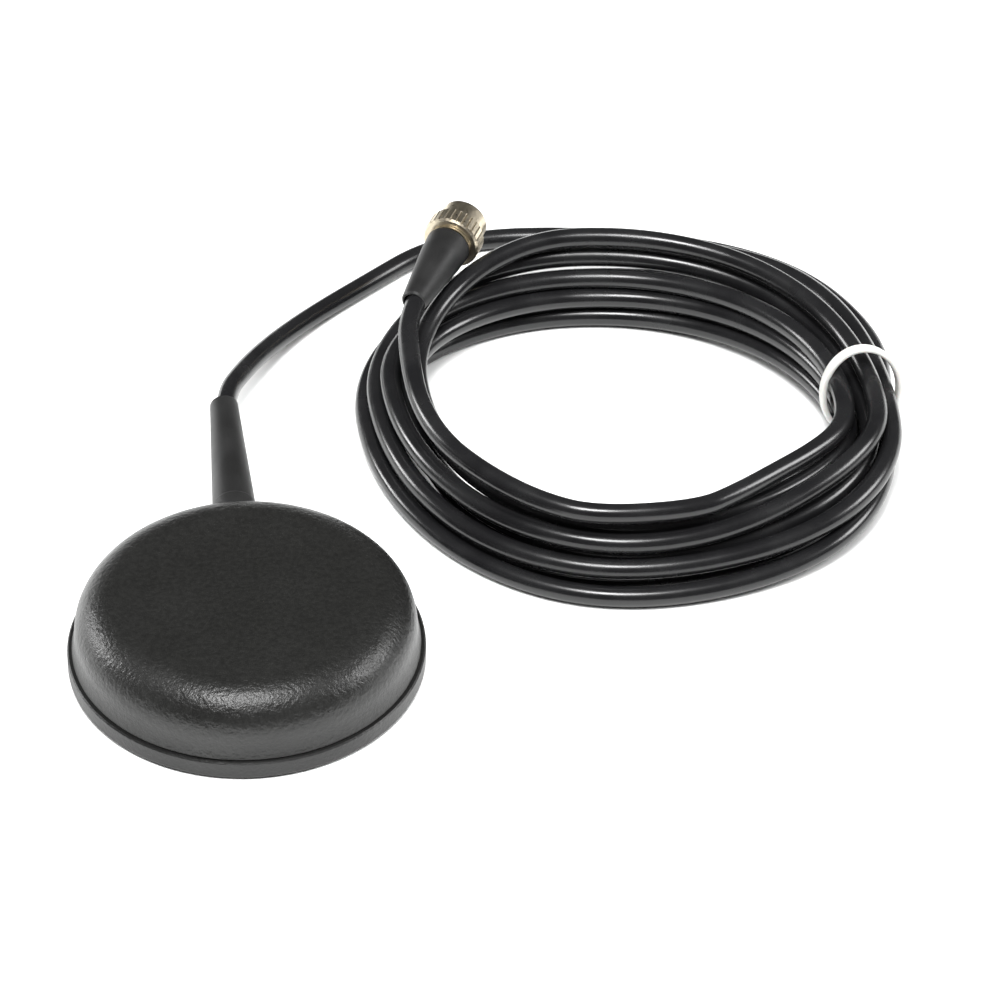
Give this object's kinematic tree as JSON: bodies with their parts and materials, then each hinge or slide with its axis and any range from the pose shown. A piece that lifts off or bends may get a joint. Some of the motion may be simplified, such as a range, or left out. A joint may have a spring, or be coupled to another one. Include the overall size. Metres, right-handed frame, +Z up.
{
  "type": "gnss receiver",
  "caption": "Low round magnet-mount GNSS antenna with a crowned cap, tapered strain relief and a tied coil of coaxial cable ending in a threaded plug.",
  "frame": {"origin": "centre of the antenna housing's underside, on the surface it stands on", "axes": "+Z up through the domed cap, +Y from the housing's centre towards the cable exit"},
  "size_m": [0.2071, 0.1964, 0.0307],
  "materials": {
    "cap_plastic": "fine spark-eroded texture, satin black",
    "base_plastic": "fine texture, satin black",
    "pad_rubber": "matt black",
    "seal_rubber": "matt black",
    "magnet_metal": "nickel plated",
    "steel_sheet": "zinc plated",
    "screw_steel": "zinc plated",
    "board": "green solder mask",
    "tinplate": "tinned",
    "chip_plastic": "moulded",
    "chip_ceramic": "fired, tan",
    "tape": "white foam tape",
    "patch_ceramic": "fired, unglazed",
    "silver": "fired silver",
    "relief_rubber": "fine texture, satin black",
    "ferrule": "nickel flashed",
    "jacket": "semi-gloss black PVC",
    "dielectric": "natural white",
    "copper": "bare copper",
    "tie_plastic": "off-white, slightly glossy",
    "boot_rubber": "satin black",
    "connector_nickel": "nickel plated brass, warm",
    "ptfe": "natural white",
    "gold": "gold plated",
    "gasket": "red silicone"
  },
  "bodies": {
    "antenna": {"radome": "cap_plastic", "base_plate": "base_plastic", "perimeter_seal": "seal_rubber", "base_pad": "pad_rubber", "magnets": "magnet_metal", "backing_plate": "steel_sheet", "base_screws": "screw_steel", "circuit_board": "board", "board_screws": "screw_steel", "shield_can": "tinplate", "amplifier_chip": "chip_plastic", "band_filters": "chip_ceramic", "chip_components": "chip_ceramic", "patch_tape": "tape", "patch_ceramic": "patch_ceramic", "patch_electrode": "silver", "feed_pin": "tinplate", "strain_relief": "relief_rubber", "inner_ferrule": "ferrule", "cable_root": "jacket", "coax_dielectric": "dielectric", "coax_conductor": "copper", "cable_lead": "jacket", "cable_coil": "jacket", "cable_tail": "jacket", "coil_tie": "tie_plastic", "connector_boot": "boot_rubber", "crimp_ferrule": "ferrule", "connector_body": "connector_nickel", "connector_insulator": "ptfe", "plug_dielectric": "dielectric", "contact_pin": "gold", "connector_gasket": "gasket", "snap_ring": "screw_steel"},
    "nut": {"coupling_nut": "connector_nickel"}
  },
  "joints": [
    {"name": "nut_spin", "type": "hinge", "parent": "antenna", "child": "nut", "pos_m": [0.06036, 0.12677, 0.0235], "axis": [0.4352, 0.9003, 0], "continuous": true}
  ]
}
